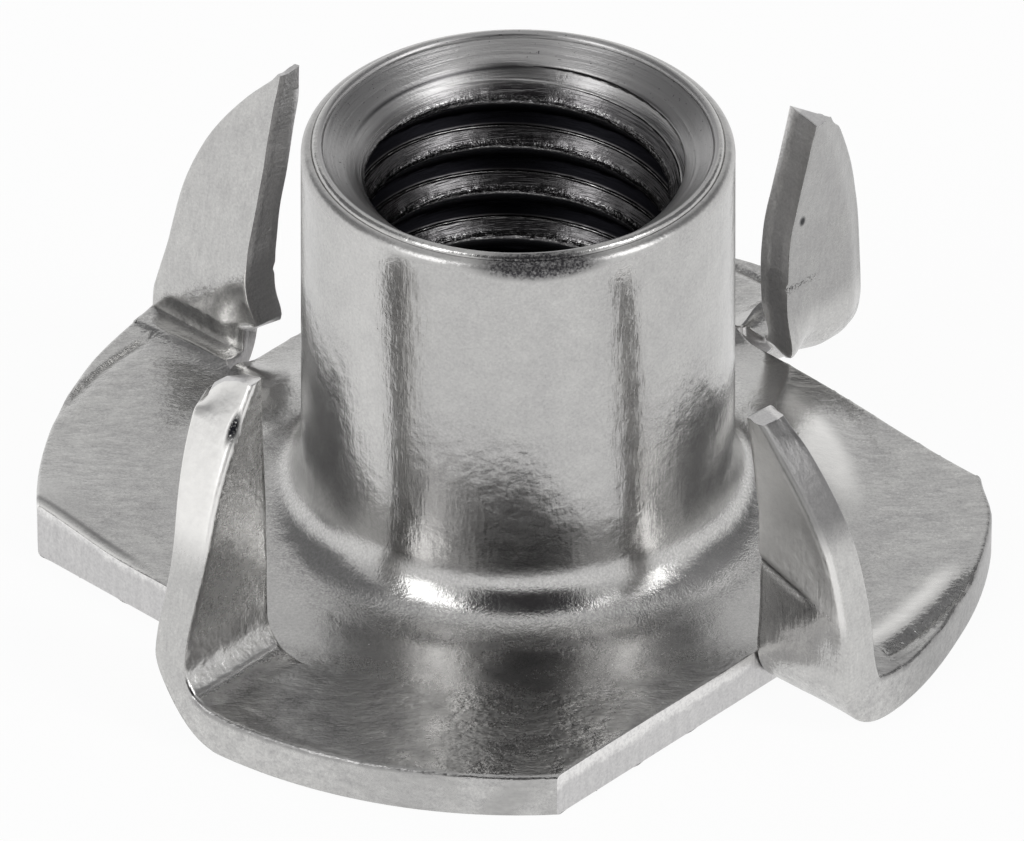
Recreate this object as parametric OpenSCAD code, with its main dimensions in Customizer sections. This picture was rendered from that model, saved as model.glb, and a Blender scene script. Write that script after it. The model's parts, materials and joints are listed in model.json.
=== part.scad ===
// Four-prong tee nut, drawn and stamped from one piece of sheet steel.
// The origin is on the bore axis, on the flange's underside. +Z runs up the barrel.
// Each prong stands on a radial line of the flange. It was sheared free along the straight
// edge of one lobe and bent up out of the next lobe, anticlockwise of it seen from above.

/* [Flange] */
// Diameter of the round blank, over the lobes' curved edges
flange_d = 22; // [21:0.5:26]
// Thickness of the flange sheet
sheet_t = 1.1; // [0.8:0.05:1.4]
// Distance from the bore axis to each lobe's straight sheared edge
chord_reach = 8.15; // [7.8:0.05:9]

/* [Barrel] */
// Outside diameter of the barrel
barrel_d = 9.9; // [9.4:0.1:10.6]
// Height of the nut, from the flange's underside to the barrel's lip
overall_h = 10.8; // [9:0.1:16]
// Radius of the flare where the barrel rises from the flange
root_r = 1.5; // [0.6:0.1:2]
// Rounding of the lip's outer edge
lip_r = 0.2; // [0.1:0.05:0.3]

/* [Bore] */
// Minor diameter of the internal M8 thread
bore_d = 6.8; // [6.2:0.05:7.2]
// Diameter of the countersink at the lip
mouth_d = 9.1; // [8.2:0.1:9.2]
// Included angle of the countersink
mouth_angle = 120; // [80:5:130]
// Radius of the rounded entry on the underside, left by the drawing punch
entry_r = 0.8; // [0.4:0.1:1]

/* [Prongs] */
// Number of prongs, and of lobes
prong_count = 4; // [3:1:4]
// Thickness of a prong's blade
prong_t = 0.85; // [0.6:0.05:1.1]
// Inside radius of the bend between a lobe and its prong
bend_r = 0.9; // [0.5:0.05:1.2]
// Distance that a prong's inner face stands into its own lobe from the radial line
prong_set = 0.15; // [0:0.05:0.4]
// Radius of the blade's backward curl, at its inner face
curl_r = 20; // [10:0.5:40]
// Width left at the blunt tip
tip_w = 0.35; // [0.2:0.05:0.8]

/* [Coined grooves] */
// Distance from the flange's rim to the groove's outer side
groove_edge = 0.3; // [0.2:0.05:0.6]
// Width of the groove that is coined along each lobe's rim
groove_w = 0.5; // [0.3:0.05:0.8]
// Width of the groove's flat floor, on the rim's side of its slope
groove_floor_w = 0.2; // [0.1:0.05:0.25]
// Depth of the groove
groove_depth = 0.22; // [0.1:0.02:0.35]
// Angle round the bore axis from the prong's radial line to the groove's start
groove_start = 9; // [8:1:20]
// Angle round the bore axis that the groove sweeps
groove_sweep = 20; // [5:1:24]

/* [Hidden] */
$fn = 96;
rim_r = flange_d / 2;
barrel_r = barrel_d / 2;
bore_r = bore_d / 2;
mouth_r = mouth_d / 2;
mouth_depth = (mouth_r - bore_r) / tan(mouth_angle / 2);
prong_pitch = 360 / prong_count;
first_prong = prong_pitch / 2;
// Where the bend starts, measured anticlockwise from the prong's radial line
bend_start = prong_set + bend_r;
// Where the bend ends and the blade begins
blade_z = sheet_t + bend_r;
// Sheet used up by the bend, along its middle
bend_length = PI / 2 * (bend_r + prong_t / 2);
// Height at which the flat blank's radial line would stand on the upright blade
blank_z = blade_z + bend_start - bend_length;
tip_z = blank_z + sqrt(pow(rim_r, 2) - pow(chord_reach + tip_w, 2));
// Reach of the cutting shapes past the work
over = 1;

// Half section of the drawn cup: flange, flare, barrel and lip
module cup_section() {
    square([rim_r, sheet_t]);
    square([barrel_r, overall_h - lip_r]);
    square([barrel_r - lip_r, overall_h]);
    translate([barrel_r - lip_r, overall_h - lip_r]) circle(lip_r);
    difference() {
        square([barrel_r + root_r, sheet_t + root_r]);
        translate([barrel_r + root_r, sheet_t + root_r]) circle(root_r);
    }
}

// The bore with its countersink above and its rounded entry below
module bore() {
    translate([0, 0, -over]) cylinder(h = overall_h + 2 * over, r = bore_r);
    translate([0, 0, overall_h - mouth_depth]) cylinder(h = mouth_depth, r1 = bore_r, r2 = mouth_r);
    translate([0, 0, overall_h]) cylinder(h = over, r = mouth_r);
    rotate_extrude() difference() {
        square([bore_r + entry_r, entry_r]);
        translate([bore_r + entry_r, entry_r]) circle(entry_r);
    }
}

// The flat sheet that is left between a prong's radial line and its lobe's straight edge
// is cut away beyond chord_reach. Drawn for the prong on the +X axis.
module blank_cutaway() {
    translate([chord_reach, -rim_r, -over]) cube([rim_r, rim_r + bend_start, sheet_t + 2 * over]);
}

// Section across a prong: the bend, then the blade that curls back from the upright.
// X is the distance anticlockwise from the radial line, and Y is the height.
module prong_section() {
    bend_outer = bend_r + prong_t;
    intersection() {
        difference() {
            translate([prong_set - prong_t, 0]) square([bend_outer, blade_z]);
            translate([bend_start, blade_z]) circle(bend_r);
        }
        union() {
            translate([bend_start, bend_outer]) circle(bend_outer);
            translate([prong_set - prong_t, bend_outer]) square([bend_outer, blade_z]);
        }
    }
    intersection() {
        translate([prong_set - curl_r, blade_z]) difference() {
            circle(curl_r, $fn = 360);
            circle(curl_r - prong_t, $fn = 360);
        }
        translate([prong_set - curl_r, blade_z]) square([curl_r, overall_h]);
    }
}

// Side view of a prong: its inner edge is the sheared chord and its outer edge the blank's rim.
// X is the distance from the bore axis, and Y is the height.
module prong_outline() {
    intersection() {
        translate([0, blank_z]) circle(rim_r, $fn = 360);
        translate([chord_reach, 0]) square([rim_r, tip_z]);
    }
}

module prong() {
    intersection() {
        translate([chord_reach, 0, 0]) rotate([90, 0, 90]) linear_extrude(rim_r) prong_section();
        translate([0, rim_r, 0]) rotate([90, 0, 0]) linear_extrude(2 * rim_r) prong_outline();
        cylinder(h = overall_h, r = rim_r, $fn = 360);
    }
}

// A groove round part of the rim, for the prong on the +X axis: its floor slopes down from the
// flange's flat and ends in a wall beside the rim.
module groove() {
    slope_w = groove_w - groove_floor_w;
    section = [[0, 0], [slope_w, -groove_depth], [groove_w, -groove_depth], [groove_w, over], [0, over]];
    rotate([0, 0, groove_start]) rotate_extrude(angle = groove_sweep)
        translate([rim_r - groove_edge - groove_w, sheet_t]) polygon(section);
}

module tee_nut() {
    color("silver") {
        difference() {
            rotate_extrude($fn = 360) cup_section();
            bore();
            for (i = [0 : prong_count - 1]) rotate([0, 0, first_prong + i * prong_pitch]) {
                blank_cutaway();
                groove();
            }
        }
        for (i = [0 : prong_count - 1]) rotate([0, 0, first_prong + i * prong_pitch]) prong();
    }
}

tee_nut();
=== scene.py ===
import json
import math
from typing import NamedTuple

import bmesh
import bpy
from bpy.props import FloatProperty, FloatVectorProperty, IntProperty, PointerProperty
from mathutils import Matrix, Vector, noise


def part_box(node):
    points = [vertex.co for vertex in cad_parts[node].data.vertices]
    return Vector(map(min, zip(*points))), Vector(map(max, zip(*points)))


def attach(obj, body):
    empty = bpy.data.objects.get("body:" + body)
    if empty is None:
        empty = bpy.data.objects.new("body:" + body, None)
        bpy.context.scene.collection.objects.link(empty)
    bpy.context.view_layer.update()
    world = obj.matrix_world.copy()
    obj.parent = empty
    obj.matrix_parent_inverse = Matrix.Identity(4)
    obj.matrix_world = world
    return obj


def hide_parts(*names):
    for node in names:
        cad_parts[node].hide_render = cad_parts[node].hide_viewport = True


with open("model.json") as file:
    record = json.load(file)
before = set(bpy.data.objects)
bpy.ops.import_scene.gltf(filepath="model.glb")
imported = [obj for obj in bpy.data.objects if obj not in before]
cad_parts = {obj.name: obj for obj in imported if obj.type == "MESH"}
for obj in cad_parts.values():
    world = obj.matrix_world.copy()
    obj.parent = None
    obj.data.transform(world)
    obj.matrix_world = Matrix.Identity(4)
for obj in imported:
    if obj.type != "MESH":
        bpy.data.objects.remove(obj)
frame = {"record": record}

bl_info = {
    "name": "Tee Nut",
    "version": (1, 0, 0),
    "blender": (4, 5, 0),
    "location": "View3D > Sidebar > Tee Nut",
    "description": "Builds a stamped four-prong tee nut, its steel finish and the studio around it",
    "category": "Add Mesh",
}

# Lengths below are in millimetres, as on the nut's drawing. The mesh is scaled to metres last.
MM = 0.001
NODE = "tee_nut"


def mount(name):
    """The record's mount of that name."""
    return next(m for m in frame["record"]["mounts"] if m["name"] == name)


def extents():
    """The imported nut's rim radius and height, in millimetres."""
    low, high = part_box(NODE)
    return (high.x - low.x) / 2 / MM, high.z / MM


RIM_R, OVERALL_H = extents()
SHEET_T = mount("flange_seat")["pos_m"][2] / MM
BARREL_R = mount("barrel")["dims"]["r_mm"]
BORE_R = mount("thread")["dims"]["r_mm"]
PRONGS = 4
# Material slots of the nut's mesh
DRAWN, SHEARED, TAPPED = range(3)
# Layers of the mesh: what a face of the lanced flange belongs to, and where a vertex lay in the blank
PART, BLANK = "part", "blank"
FLANGE, BLADE = range(2)
# Width of the mesh cells along a sheared wall, and their rows round a bend
WALL_STEP, BEND_ROWS = 0.2, 20
# Where along the blade the rows are finer for the scar, from the start of the bend
SCAR_ROWS = (2.4, 4.4)
# The narrowest tip: the blank is cut to it first
NARROW_TIP = 0.15
# How gently a blade starts to lean at its knee
KNEE_R = 0.5
# From the sheared edges in to the seam where the lanced flange meets the barrel's part
SEAM_INSET = 1.35
# The flange's rise towards the flare: the radius where it is full, and the height it stays below
RISEN_R, RISE_UNDER = 6.2, 3
# The places beside the flare that were pushed up: their turn about the axis and width, in degrees
PUSHED_AT = ((15, 25), (148, 20))
# Edges sharper than this stay sharp, in degrees
SHARP_ANGLE = 35
# The studio, in metres
FLOOR_SIZE, CARD_DISTANCE, LAMP_DISTANCE, CAMERA_DISTANCE = 3.0, 1.2, 1.2, 0.35
# The camera's height above the floor and its turn from the front, in degrees, and its focal length
CAMERA_RISE, CAMERA_TURN, LENS = 34.74, -1.7, 537.4
# Where it aims, to the right of the floor's middle and up the picture from it, in millimetres
AIM_RIGHT, AIM_UP = -0.137, 2.584


def length(name, description, default, low, high):
    """A length property in millimetres."""
    return FloatProperty(name=name, description=description, default=default, min=low, max=high,
                         precision=3)


def size_m(name, description, default):
    """A length property in metres, for the studio."""
    return FloatProperty(name=name, description=description, default=default, min=0.01, max=5,
                         subtype="DISTANCE", unit="LENGTH")


def angle(name, description, degrees):
    """An angle property, its default given in degrees."""
    return FloatProperty(name=name, description=description, default=math.radians(degrees), subtype="ANGLE")


def fraction(name, description, default):
    """A share, from 0 to 1."""
    return FloatProperty(name=name, description=description, default=default, min=0, max=1,
                         subtype="FACTOR")


def brightness(name, description, default):
    """A lamp's brightness."""
    return FloatProperty(name=name, description=description, default=default, min=0)


def colour(name, description, default):
    """A colour property."""
    return FloatVectorProperty(name=name, description=description, default=default, min=0, max=1,
                               size=3, subtype="COLOR")


# ---- Properties ----

class CupSize(bpy.types.PropertyGroup):
    """Sizes of the drawn cup: flange, flare, barrel and lip, in millimetres"""
    root_r: length("Flare Radius", "Radius where the barrel rises from the flange", 1.5, 0.6, 2)
    lip_w: length("Lip Width", "Width of the lip's rounded crown", 0.26, 0.15, 0.35)
    top_r: length("Top Radius", "The barrel's outer radius just below the lip", 4.895, 4.8, 5.02)
    shoulder_r: length("Shoulder", "Rounding of the barrel's outer edge below the lip", 0.22, 0.05, 0.4)
    rim_edge_r: length("Rim Edge", "Rounding of the flange rim's edges", 0.1, 0.02, 0.3)
    entry_r: length("Entry Radius", "Rounded entry to the bore on the underside", 0.8, 0.4, 1)
    columns: IntProperty(name="Columns", description="Steps round the axis, a multiple of eight",
                         default=216, min=96, max=288)


class ThreadSize(bpy.types.PropertyGroup):
    """The bore's thread and countersink, in millimetres"""
    pitch: length("Pitch", "Advance of the thread in one turn", 1.25, 0.8, 1.5)
    phase: length("Start", "Height of a crest on the +X side", 0.59, 0, 1.25)
    depth: length("Depth", "From the crests to the thread's root", 0.5, 0.4, 0.8)
    flank_angle: angle("Flank Angle", "Included angle of the worn thread", 84)
    crest_w: length("Crest Width", "Flat along the crest", 0.12, 0.05, 0.5)
    corner_r: length("Corner Rounding", "Wear on the thread's corners", 0.08, 0.02, 0.2)
    torn: length("Torn Crest", "How far the tap left the crests ragged", 0.025, 0, 0.08)
    mouth_angle: angle("Mouth Angle", "Included angle of the countersink", 107)
    lead_r: length("Lead-In Radius", "Radius at the foot of the countersink", 3.87, 3.5, 4.2)
    lead_angle: angle("Lead-In Angle", "Included angle of the wall that leads in to the thread", 90)
    seen_z: length("Fine From", "Height above which the thread's mesh is fine", 6.0, 2, 9)
    fine: length("Fine Rows", "Mesh rows near the mouth", 0.036, 0.03, 0.08)
    coarse: length("Coarse Rows", "Mesh rows deeper down", 0.07, 0.03, 0.1)


class ProngSize(bpy.types.PropertyGroup):
    """The prongs, in millimetres"""
    chord: length("Sheared Edge", "From the axis to each lobe's straight edge", 8.15, 7.8, 9)
    bend_r: length("Bend Radius", "Inside radius of the bend", 0.9, 0.3, 1.2)
    bend_start: length("Bend Start", "From the radial line to the start of the bend", 1.05, 0.6, 1.5)
    slit: length("Slit", "Gap between a prong's foot and the flange", 0.05, 0.01, 0.15)
    edge: length("Edge Rounding", "Wear on the sheared edges", 0.05, 0.02, 0.1)
    roll_w: length("Roll Width", "How far the die rolled the outer face's edge over", 0.6, 0.2, 1)
    roll_h: length("Roll Depth", "How deep that edge was rolled", 0.2, 0, 0.4)
    ridge: length("Root Ridge", "Height of the ridge pushed up along the bend's inside", 0.28, 0, 0.4)
    swell: length("Bend Swell", "How far the bend's outside swells near the rim", 0.26, 0, 0.4)
    scar: length("Tool Scar", "Depth of the scar across the outer face", 0.06, 0, 0.12)
    cell: length("Cell", "Size of a blade's mesh cells", 0.15, 0.08, 0.4)


class LobeSize(bpy.types.PropertyGroup):
    """The coined mark beside each prong and the lobes' unevenness, in millimetres"""
    coin_r: length("Coin Radius", "From the axis to the start of the mark's inner edge", 9.95, 9.5, 10.8)
    coin_drift: length("Coin Drift", "How far the mark nears the rim in each millimetre", 0.16, 0, 0.4)
    coin_start: length("Coin Start", "Along the rim from the prong's radial line to the mark", 1.25, 0.5, 3)
    coin_end: length("Coin End", "Along the rim to where the mark fades", 5.8, 3, 8)
    coin_depth: length("Coin Depth", "Deepest line of the mark", 0.18, 0, 0.4)
    coin_w: length("Coin Width", "From the mark's inner edge to its deepest line", 0.42, 0.1, 0.6)
    coin_rise: length("Coin Rise", "How far the mark rises again outside that line", 0.13, 0, 0.3)
    toe: length("Toe", "How much the flange has risen where the flare begins", 0.16, 0, 0.4)
    pushed: length("Pushed Up", "How far the flange was pushed up at two places", 0.32, 0, 0.6)
    toe_r: length("Toe Radius", "Radius where the flange starts to rise towards the flare", 8.3, 7, 9)
    sway: length("Sway", "Unevenness of the pressed sheet", 0.03, 0, 0.1)
    skew: length("Skew", "How far askew the +X lobe's far edge was sheared", 0.3, 0, 0.5)
    shy: length("Shy Rim", "How far the +X lobe's rim falls short", 0.15, 0, 0.3)
    proud: length("Proud Corner", "How far the -X lobe's front corner stands up", 0.3, 0, 0.5)


class FinishSetting(bpy.types.PropertyGroup):
    """Colours and gloss of the plated steel"""
    bright: colour("Bright", "The skin's polished places", (0.63, 0.625, 0.61))
    dull: colour("Dull", "The skin's dull places", (0.36, 0.355, 0.355))
    # The colour of the painted highlights and reflections
    polished: colour("Polished", "Where the die rubbed the skin bright", (0.93, 0.92, 0.9))
    # The colour of painted shadows and shade: the thread's roots and the pits
    pitch: colour("Pitch", "The deep, dark bottom of the thread and of pits", (0.012, 0.012, 0.015))
    # Also the colour of painted shade and painted shadows
    dirt_and_shade: colour("Dirt", "Dark handling marks and pits", (0.05, 0.048, 0.052))
    sheared: colour("Sheared", "The sheared edges where they are burnished", (0.82, 0.81, 0.8))
    sheared_dark: colour("Broken", "The sheared edges where they broke", (0.42, 0.415, 0.42))
    tapped: colour("Cut", "The countersink and the thread's crests", (0.56, 0.555, 0.55))
    tapped_dark: colour("Cut, Dark", "The tool rings' dark lines", (0.2, 0.195, 0.2))
    # The colour of the painted shade inside the bore
    bore_shade: colour("Oil", "The oily thread", (0.1, 0.097, 0.1))
    skin_rough: fraction("Roughness", "Roughness of the plated skin", 0.2)


class StudioSetting(bpy.types.PropertyGroup):
    """The photographer's studio: a pale room, dark cards and two tall softboxes"""
    room: colour("Room", "The pale room above the nut", (0.72, 0.72, 0.72))
    backdrop: colour("Backdrop", "The brighter walls near the floor", (1.0, 1.0, 1.0))
    card: colour("Dark Card", "The card in front of the nut, above the camera", (0.035, 0.033, 0.036))
    card_w: size_m("Card Width", "Width of the dark card", 1.05)
    card_h: size_m("Card Height", "Height of the dark card", 1.25)
    card_turn: angle("Card Turn", "Direction of the dark card about the nut", 2)
    card_rise: angle("Card Rise", "Height of the dark card above the floor", 41)
    side: colour("Side Cards", "The grey cards at the nut's sides", (0.27, 0.27, 0.275))
    side_w: size_m("Side Width", "Width of the side cards", 1.1)
    side_h: size_m("Side Height", "Height of the side cards", 1.0)
    side_turn: angle("Side Turn", "Direction of the side cards about the nut, to each side", 118)
    softbox_w: size_m("Softbox Width", "Width of each softbox", 0.3)
    softbox_h: size_m("Softbox Height", "Height of each softbox", 0.9)
    softbox_rise: angle("Softbox Rise", "Height of the softboxes above the floor", 38)
    left_turn: angle("Left Softbox", "Direction of the left softbox about the nut", -50)
    right_turn: angle("Right Softbox", "Direction of the right softbox about the nut", 63)
    left_light: brightness("Left Light", "How bright the left softbox looks", 3.05)
    right_light: brightness("Right Light", "How bright the right softbox looks", 3.6)
    paper: colour("Paper", "The white paper that the nut stands on", (0.95, 0.95, 0.95))
    paper_light: fraction("Paper Light", "Share of the paper that is plain white", 0.94)


# ---- Small shared helpers ----

def arc(centre, radius, start, end, steps):
    """Points on an arc in the section plane, angles in degrees."""
    angles = [math.radians(start + (end - start) * i / steps) for i in range(steps + 1)]
    return [(centre[0] + radius * math.cos(a), centre[1] + radius * math.sin(a)) for a in angles]


def line(a, b, step):
    """Points on a straight stretch, both ends left out, no further apart than step."""
    span = math.dist(a, b)
    parts = max(1, math.ceil(span / step))
    return [(a[0] + (b[0] - a[0]) * i / parts, a[1] + (b[1] - a[1]) * i / parts) for i in range(1, parts)]


def smooth(low, high, x):
    """0 below low, 1 above high, and a smooth step between."""
    t = min(1.0, max(0.0, (x - low) / (high - low)))
    return t * t * (3 - 2 * t)


def bell(x, width):
    """1 at nought, falling off smoothly over width."""
    return math.exp(-(x / width) ** 2)


def soft_max(a, b, k):
    """The larger of two values, rounded where they meet over k."""
    h = max(0.0, k - abs(a - b)) / k
    return max(a, b) + h * h * k / 4


def mix(a, b, t):
    """A value that far on the way from a to b."""
    return a + (b - a) * t


# ---- The drawn cup ----

def flange_section(cup, seam_r):
    """The flange's section, from the seam along the underside, round the rim and back along the top."""
    e = cup.rim_edge_r
    groove_from = RIM_R - 0.95
    points = [(seam_r, 0)] + line((seam_r, 0), (RIM_R - e, 0), 0.4)
    points += arc((RIM_R - e, e), e, -90, 0, 3)
    points += line((RIM_R, e), (RIM_R, SHEET_T - e), 0.18)
    points += arc((RIM_R - e, SHEET_T - e), e, 0, 90, 3)
    points += line((RIM_R - e, SHEET_T), (groove_from, SHEET_T), 0.05) + [(groove_from, SHEET_T)]
    return points + line((groove_from, SHEET_T), (seam_r, SHEET_T), 0.16) + [(seam_r, SHEET_T)]


def crown(cup):
    """The lip's crown: its centre's radius and height, and the radius of its rounding."""
    half = cup.lip_w / 2
    return cup.top_r - cup.shoulder_r - 0.02 - half, OVERALL_H - half, half


def barrel_section(cup, thread, seam_r):
    """The barrel's section, from the seam up the flare, over the lip, down the bore and out below."""
    root = BARREL_R + cup.root_r
    crown_r, crown_z, half = crown(cup)
    shoulder = (cup.top_r - cup.shoulder_r, crown_z - cup.shoulder_r + 0.02)
    mouth = (crown_r - half, crown_z)
    throat = (BORE_R, crown_z - (mouth[0] - BORE_R) / math.tan(thread.mouth_angle / 2))
    change = (BORE_R, thread.seen_z)
    foot = (BORE_R, cup.entry_r)
    points = [(seam_r, SHEET_T)] + line((seam_r, SHEET_T), (root, SHEET_T), 0.16)
    points += arc((root, SHEET_T + cup.root_r), cup.root_r, 270, 180, 16)
    points += line(points[-1], (cup.top_r, shoulder[1]), 0.4)
    points += arc(shoulder, cup.shoulder_r, 0, 90, 6)
    points += arc((crown_r, crown_z), half, 0, 180, 8)
    points += line(mouth, throat, thread.fine) + [throat]
    points += line(throat, change, thread.fine) + [change]
    points += line(change, foot, thread.coarse)
    points += arc((BORE_R + cup.entry_r, cup.entry_r), cup.entry_r, 180, 270, 8)
    return points + line(points[-1], (seam_r, 0), 0.4) + [(seam_r, 0)]


def spin_section(points, steps, sweep):
    """The skin that an open section in the XZ plane leaves as it turns about the axis."""
    bm = bmesh.new()
    verts = [bm.verts.new((x, 0, z)) for x, z in points]
    edges = [bm.edges.new(pair) for pair in zip(verts, verts[1:])]
    bmesh.ops.spin(bm, geom=verts + edges, cent=(0, 0, 0), axis=(0, 0, 1), angle=sweep,
                   steps=steps, use_merge=sweep > 6, use_duplicate=False)
    return bm


def thread_r(thread, turn, z):
    """Radius of the tapped wall: crest, flank and root, with worn corners and a ragged crest."""
    pitches = (z - thread.phase) / thread.pitch - turn / math.tau
    off = abs(pitches - round(pitches)) * thread.pitch
    flank = (off - thread.crest_w / 2) * math.tan(thread.flank_angle / 2)
    cut = thread.depth - soft_max(0.0, thread.depth - flank, thread.corner_r)
    ragged = noise.noise(Vector((turn * 12, z * 5, 7))) + 0.6 * noise.noise(Vector((turn * 31, z * 9, 3)))
    crest = bell(off, 0.22) * thread.torn * ragged
    return BORE_R + soft_max(0.0, cut, thread.corner_r) + crest


def cut_thread(bm, cup, thread):
    """Moves the bore's wall out to the thread, and leaves the countersink where it is deeper."""
    crown_r, crown_z, half = crown(cup)
    mouth_r = crown_r - half
    flare = math.tan(thread.mouth_angle / 2)
    lead_z = crown_z - (mouth_r - thread.lead_r) / flare
    for vert in bm.verts:
        r, z = vert.co.xy.length, vert.co.z
        if r > mouth_r + 1e-4 or z > crown_z + 1e-4 or (r > BORE_R + 1e-3 and z < SHEET_T):
            continue
        lead = thread.lead_r - (lead_z - z) * math.tan(thread.lead_angle / 2)
        cone = soft_max(lead, mouth_r - (crown_z - z) * flare, 0.03)
        wall = mix(r, max(BORE_R - thread.torn, thread_r(thread, math.atan2(vert.co.y, vert.co.x), z)),
                   smooth(0.7, 1.3, z))
        scale = soft_max(wall, cone, 0.06) / r if z < crown_z - 1e-4 else 1.0
        vert.co.x *= scale
        vert.co.y *= scale


# ---- Lancing the flange and folding up the prongs ----

class Lance:
    """One prong's cut and fold, in its own frame: X out along the radial line, Y anticlockwise."""

    def __init__(self, bm, prong):
        self.bm, self.prong, self.chord = bm, prong, prong.chord
        self.place = Matrix.Rotation(math.pi / PRONGS, 4, "Z")
        self.back = self.place.inverted()
        self.part = bm.faces.layers.int.get(PART) or bm.faces.layers.int.new(PART)
        self.bend_start = prong.bend_start
        self.bend_length = math.pi / 2 * (prong.bend_r + SHEET_T * 0.4)

    def at(self, item):
        """A vertex's or a face's place in the prong's frame."""
        point = item.co if isinstance(item, bmesh.types.BMVert) else item.calc_center_median()
        return self.back @ point

    def near(self, test):
        """The faces whose centre passes a test."""
        return [f for f in self.bm.faces if test(self.at(f))]

    def cut(self, faces, point, normal, clear=False):
        """Cuts faces with a plane given in the prong's frame."""
        geom = list({item for f in faces for item in (f, *f.edges, *f.verts)})
        return bmesh.ops.bisect_plane(self.bm, geom=geom, dist=1e-5, plane_co=self.place @ Vector(point),
                                      plane_no=self.place.to_3x3() @ Vector(normal), clear_outer=clear)

    def on_chord(self, vert):
        """Whether a vertex lies on the straight edge that is sheared."""
        c = self.at(vert)
        return abs(c.x - self.chord) < 1e-4 and c.y < self.bend_start + 1e-4

    def shear(self):
        """Cuts the sheet along the straight edge as far as the bend, and walls both sides."""
        chord, start = self.chord, self.bend_start
        for inset in (0, self.prong.edge, 0.12, 0.2, 0.3):
            strip = self.near(lambda c: c.x > 7.4 and -9 < c.y < start + 0.4)
            self.cut(strip, (chord - inset, 0, 0), (1, 0, 0))
        self.cut(self.near(lambda c: c.x > chord and abs(c.y - start) < 0.7), (0, start, 0), (0, 1, 0))
        chain = [e for e in self.bm.edges if all(self.on_chord(v) for v in e.verts)]
        bmesh.ops.split_edges(self.bm, edges=chain)
        rim = [e for e in self.bm.edges if e.is_boundary and all(self.on_chord(v) for v in e.verts)]
        ends = {v for e in rim for v in e.verts if abs(self.at(v).y - start) < 1e-4}
        fold_edge = self.bm.edges.new(sorted(ends, key=lambda v: v.co.z))
        blade = [e for e in rim if self.at(e.link_faces[0]).x > chord]
        lobe = [e for e in rim if self.at(e.link_faces[0]).x < chord]
        for face in self.near(lambda c: c.x > chord and c.y < start):
            face[self.part] = BLADE
        for side, part in ((lobe, FLANGE), (blade, BLADE)):
            wall = bmesh.ops.contextual_create(self.bm, geom=side + [fold_edge])["faces"][0]
            wall[self.part] = part
            wall.material_index = SHEARED
        for step in range(1, math.ceil((start + RIM_R) / WALL_STEP)):
            self.cut(self.walls(), (0, start - step * WALL_STEP, 0), (0, 1, 0))
        for height in (self.prong.edge, SHEET_T - self.prong.edge):
            self.cut(self.walls(), (0, 0, height), (0, 0, 1))

    def walls(self):
        """The sheared walls' faces."""
        return [f for f in self.bm.faces if all(self.on_chord(v) for v in f.verts)]

    def blade_faces(self):
        """The faces that fold up with the blade."""
        return [f for f in self.bm.faces if f[self.part] == BLADE]

    def reach(self, tip_w):
        """Where the circle of the rim leaves a tip of that width."""
        return -math.sqrt(RIM_R ** 2 - (self.chord + tip_w) ** 2)

    def grid(self, tip_w):
        """Gives the flat blade a clean grid: the spun cells go, then planes cut it both ways."""
        chord, start, cell = self.chord, self.bend_start, self.prong.cell
        for level in (0, SHEET_T):
            flat = [f for f in self.blade_faces() if all(abs(v.co.z - level) < 1e-4 for v in f.verts)]
            bmesh.ops.dissolve_faces(self.bm, faces=flat, use_verts=False)
        self.trim(tip_w)
        rows = [start - self.bend_length * i / BEND_ROWS for i in range(1, BEND_ROWS + 1)]
        while rows[-1] - cell > self.reach(tip_w) + cell / 2:
            scarred = SCAR_ROWS[0] < start - rows[-1] < SCAR_ROWS[1]
            rows.append(rows[-1] - (cell / 2 if scarred else cell))
        for y in rows:
            self.cut(self.blade_faces(), (0, y, 0), (0, 1, 0))
        columns = math.ceil((RIM_R - chord) / cell)
        for offset in [self.prong.edge] + [i * cell for i in range(1, columns)]:
            self.cut(self.blade_faces(), (chord + offset, 0, 0), (1, 0, 0))
        for depth in (0.3, 0.7):
            walls = [f for f in self.blade_faces() if f.material_index == SHEARED]
            self.cut(walls, (0, 0, SHEET_T * depth), (0, 0, 1))

    def trim(self, tip_w):
        """Cuts the blade's point off square, and closes the end."""
        cut = self.cut(self.blade_faces(), (0, self.reach(tip_w), 0), (0, -1, 0), clear=True)
        edges = [e for e in cut["geom_cut"] if isinstance(e, bmesh.types.BMEdge)]
        end = bmesh.ops.contextual_create(self.bm, geom=edges)["faces"][0]
        end[self.part] = BLADE
        end.material_index = SHEARED

    def coin(self, lobe, c):
        """How far the die pressed the lobe's top down at a point."""
        run = math.atan2(c.y, c.x) * RIM_R
        s = math.hypot(c.x, c.y) - lobe.coin_r - lobe.coin_drift * (run - lobe.coin_start)
        inside = smooth(0, 0.3, run - lobe.coin_start + 0.5 * s)
        inside *= 1 - smooth(lobe.coin_end - 1.5, lobe.coin_end, run)
        floor = lobe.coin_depth * min(1.0, max(0.0, s / lobe.coin_w)) ** 2
        rise = lobe.coin_rise * smooth(lobe.coin_w, lobe.coin_w + 0.12, s)
        second = 0.04 * bell(s - lobe.coin_w - 0.24, 0.08)
        return inside * (floor - rise + second)

    def ridge(self, u, along, stance):
        """Height of the ridge that the bend pushed up along its inside."""
        reach = smooth(self.chord - 1.2, self.chord, u) * mix(1, 0.2, smooth(9, RIM_R, u))
        return stance.ridge * self.prong.ridge * bell(along - 0.22, 0.34) * reach

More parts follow.
